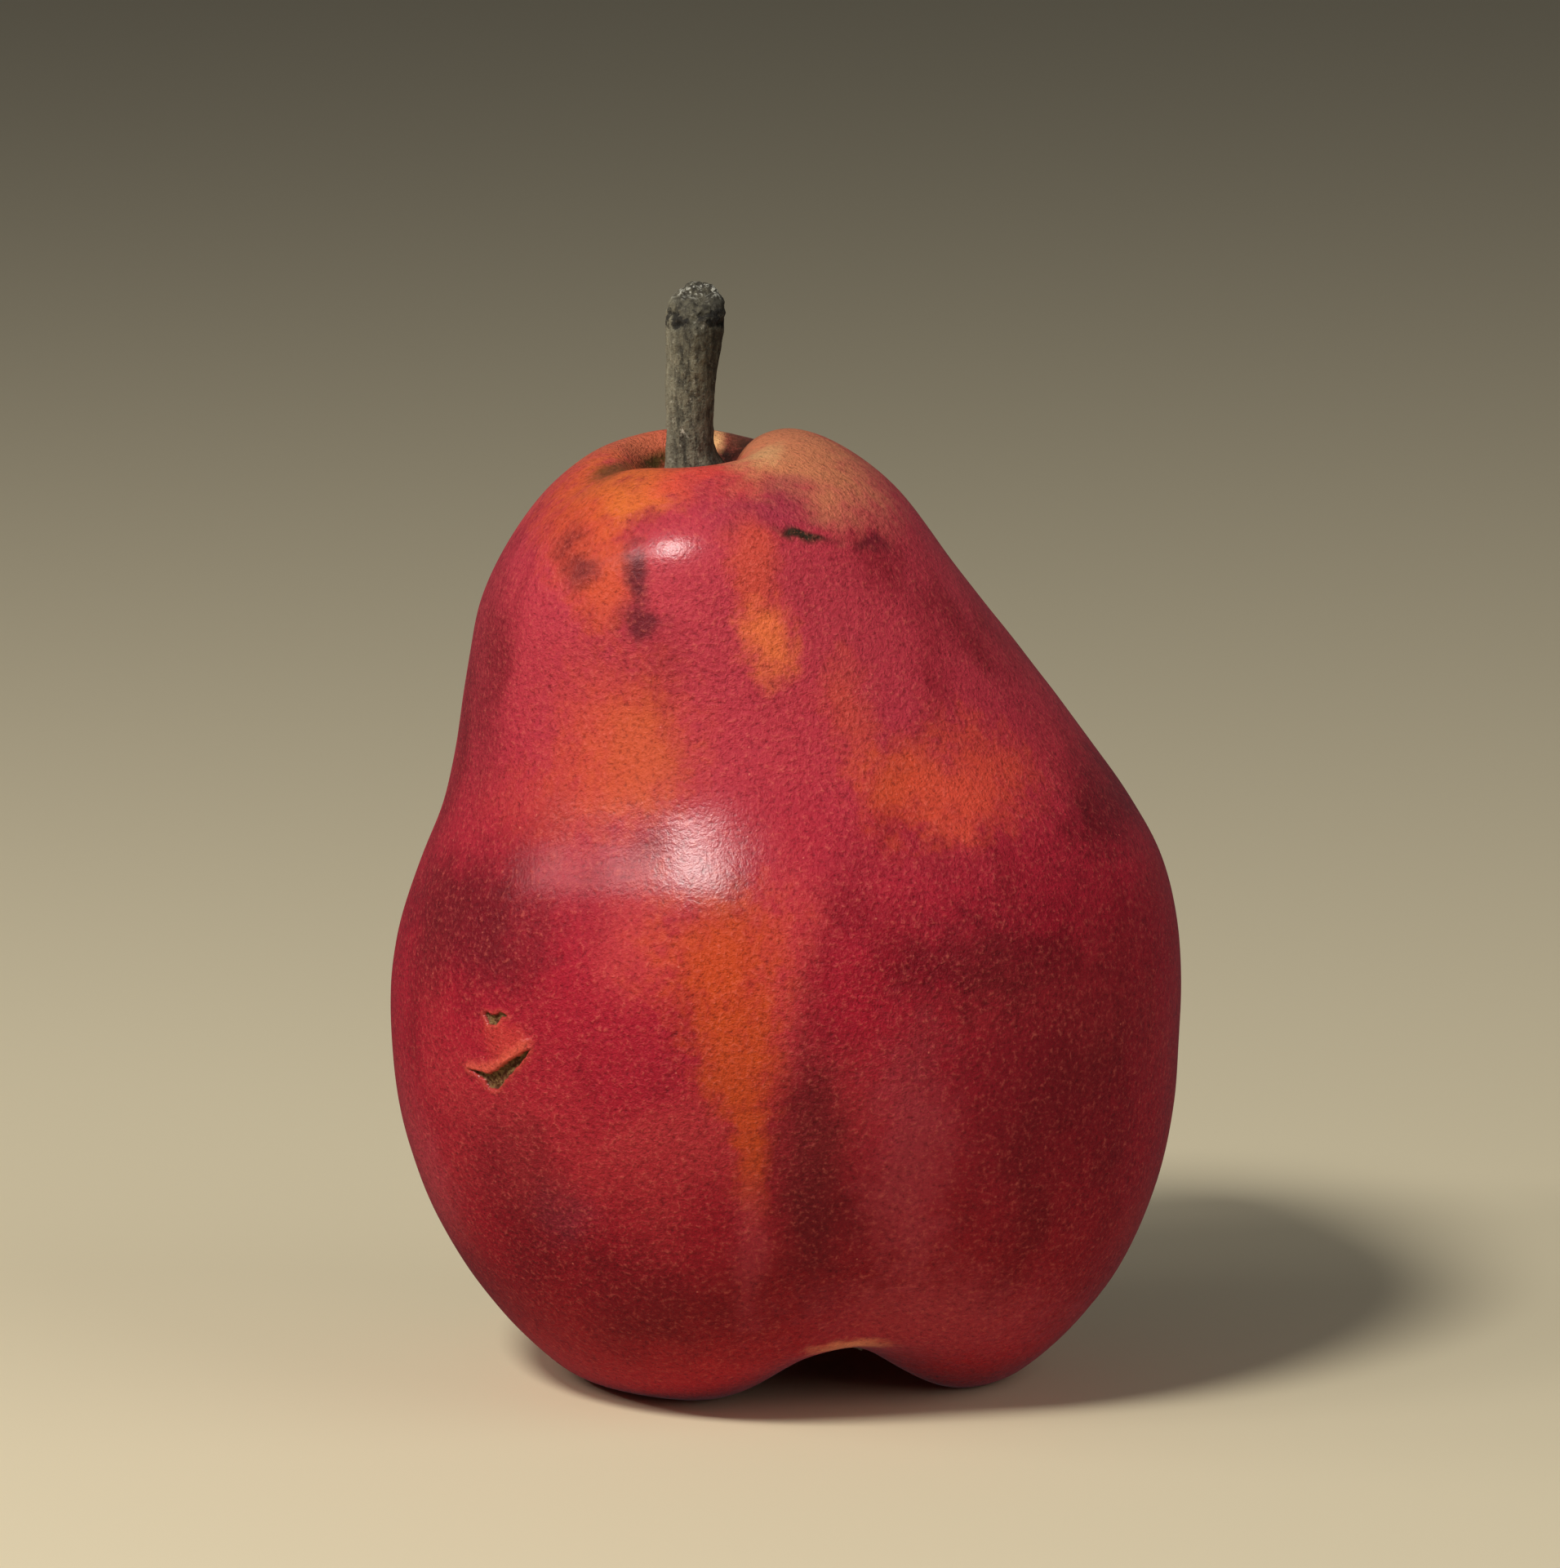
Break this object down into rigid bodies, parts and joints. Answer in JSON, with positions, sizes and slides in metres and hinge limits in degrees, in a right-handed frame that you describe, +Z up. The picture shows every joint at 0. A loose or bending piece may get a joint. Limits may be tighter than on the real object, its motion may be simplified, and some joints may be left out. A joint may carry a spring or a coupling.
{
  "type": "pear",
  "caption": "Squat red pear that stands upright on its lobed base, with a short neck, a woody stem and a dried calyx.",
  "frame": {"origin": "under the middle of the pear, on the surface that it stands on", "axes": "+Z up along the stem, -Y towards the side where the deepest furrow climbs from the base, +X to that view's right, where the high shoulder is"},
  "size_m": [0.078, 0.076, 0.1088],
  "materials": {
    "skin": "waxy, mottled red skin with orange and tan patches",
    "stem": "rough grey-olive bark",
    "calyx": "dry, dark brown"
  },
  "bodies": {
    "root": {"fruit": "skin", "stem": "stem", "calyx": "calyx"}
  },
  "joints": []
}
